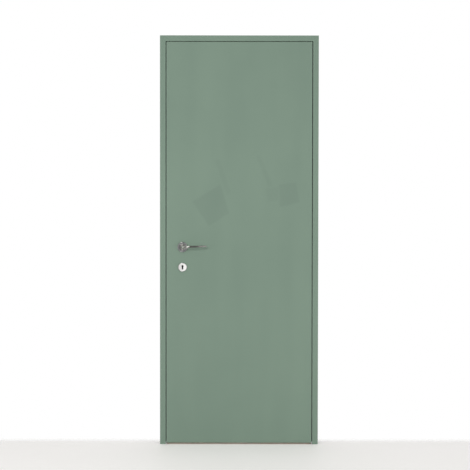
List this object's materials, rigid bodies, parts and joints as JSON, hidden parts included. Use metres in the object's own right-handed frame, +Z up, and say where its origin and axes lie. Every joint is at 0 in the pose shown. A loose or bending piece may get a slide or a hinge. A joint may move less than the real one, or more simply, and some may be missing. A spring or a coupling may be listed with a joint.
{
  "type": "flush hinged door",
  "caption": "Flush door leaf on concealed hinges in a slim hollow metal frame, with a magnetic latch lock, slender levers on round roses and a keyhole disc.",
  "frame": {"origin": "floor level, middle of the leaf's width and of its thickness", "axes": "+X to the right towards the hinges, +Y into the wall, +Z up"},
  "size_m": [0.828, 0.1774, 2.139],
  "materials": {
    "green_paint": "matt sage green paint",
    "mill_metal": "mill finish extrusion",
    "leaf_wood": "planed softwood",
    "core_board": "tubular particle board",
    "black_seal": "soft black seal",
    "satin_nickel": "satin nickel plate",
    "polished_metal": "polished nickel plate",
    "satin_steel": "satin",
    "hinge_metal": "satin die casting",
    "plain_steel": "zinc plated",
    "cast_parts": "mill finish",
    "grey_plastic": "smooth"
  },
  "bodies": {
    "frame": {"corner_cleats": "cast_parts", "frame_head": "green_paint", "hinge_backing_plates": "plain_steel", "hinge_frame_body_bottom": "hinge_metal", "hinge_frame_body_middle": "hinge_metal", "hinge_frame_body_top": "hinge_metal", "hinge_frame_pins": "plain_steel", "hinge_frame_screws": "satin_steel", "jamb_hinge_side": "green_paint", "jamb_lock_side": "green_paint", "seal_head": "black_seal", "seal_hinge_side": "black_seal", "seal_lock_side": "black_seal", "stop_head": "mill_metal", "stop_hinge_side": "mill_metal", "stop_lock_side": "mill_metal", "strike_box": "grey_plastic", "strike_magnet": "plain_steel", "strike_plate": "satin_steel", "strike_screws": "satin_steel"},
    "leaf": {"bottom_rail": "leaf_wood", "core_panel": "core_board", "escutcheon_back": "polished_metal", "escutcheon_front": "polished_metal", "faceplate_screws": "satin_steel", "hinge_leaf_body_bottom": "hinge_metal", "hinge_leaf_body_middle": "hinge_metal", "hinge_leaf_body_top": "hinge_metal", "hinge_leaf_pins": "plain_steel", "hinge_leaf_screws": "satin_steel", "hinge_stile": "leaf_wood", "leaf_back_skin": "green_paint", "leaf_front_skin": "green_paint", "lock_block": "leaf_wood", "lock_case": "plain_steel", "lock_cover": "plain_steel", "lock_faceplate": "satin_steel", "lock_stile": "leaf_wood", "rose_back": "satin_nickel", "rose_front": "satin_nickel", "rose_plates": "cast_parts", "top_rail": "leaf_wood"},
    "frame_long_arms": {"frame_arm_pins": "plain_steel", "frame_long_arm_bottom": "hinge_metal", "frame_long_arm_middle": "hinge_metal", "frame_long_arm_top": "hinge_metal"},
    "frame_short_arms": {"frame_short_arms": "hinge_metal"},
    "leaf_long_arms": {"leaf_arm_pins": "plain_steel", "leaf_long_arm_bottom": "hinge_metal", "leaf_long_arm_middle": "hinge_metal", "leaf_long_arm_top": "hinge_metal"},
    "leaf_short_arms": {"leaf_short_arms": "hinge_metal"},
    "handle": {"lever_front": "satin_nickel", "lever_back": "satin_nickel", "spindle": "plain_steel", "latch_follower": "plain_steel", "grub_screws": "satin_steel"},
    "latch": {"latch_bolt": "grey_plastic"},
    "deadbolt": {"deadbolt": "plain_steel"}
  },
  "joints": [
    {"name": "leaf_swing", "type": "hinge", "parent": "frame", "child": "leaf", "pos_m": [0.3825, -0.027, 1.065], "axis": [0, 0, 1], "range_deg": [0, 105]},
    {"name": "frame_long_arms_turn", "type": "hinge", "parent": "frame", "child": "frame_long_arms", "pos_m": [0.389, -0.013, 1.065], "axis": [0, 0, 1], "range_deg": [0, 105]},
    {"name": "frame_short_arms_turn", "type": "hinge", "parent": "frame", "child": "frame_short_arms", "pos_m": [0.3918, -0.006, 1.065], "axis": [0, 0, 1], "range_deg": [0, 105]},
    {"name": "leaf_long_arms_turn", "type": "hinge", "parent": "leaf", "child": "leaf_long_arms", "pos_m": [0.376, -0.013, 1.065], "axis": [0, 0, 1], "range_deg": [-105, 0]},
    {"name": "leaf_short_arms_turn", "type": "hinge", "parent": "leaf", "child": "leaf_short_arms", "pos_m": [0.3732, -0.006, 1.065], "axis": [0, 0, 1], "range_deg": [-105, 0]},
    {"name": "lever_turn", "type": "hinge", "parent": "leaf", "child": "handle", "pos_m": [-0.296, 0, 1.035], "axis": [0, 1, 0], "range_deg": [0, 40], "stiffness_Nm_per_rad": 1, "springref_deg": -34.38},
    {"name": "latch_slide", "type": "slide", "parent": "leaf", "child": "latch", "axis": [-1, 0, 0], "range_m": [0, 0.009], "stiffness_N_per_m": 40, "springref_m": -0.01},
    {"name": "deadbolt_slide", "type": "slide", "parent": "leaf", "child": "deadbolt", "axis": [-1, 0, 0], "range_m": [0, 0.014]}
  ],
  "couplings": [
    {"joint": "frame_long_arms_turn", "follows": "leaf_swing", "ratio": 1},
    {"joint": "frame_short_arms_turn", "follows": "leaf_swing", "ratio": 1},
    {"joint": "leaf_long_arms_turn", "follows": "leaf_swing", "ratio": -1},
    {"joint": "leaf_short_arms_turn", "follows": "leaf_swing", "ratio": -1}
  ]
}
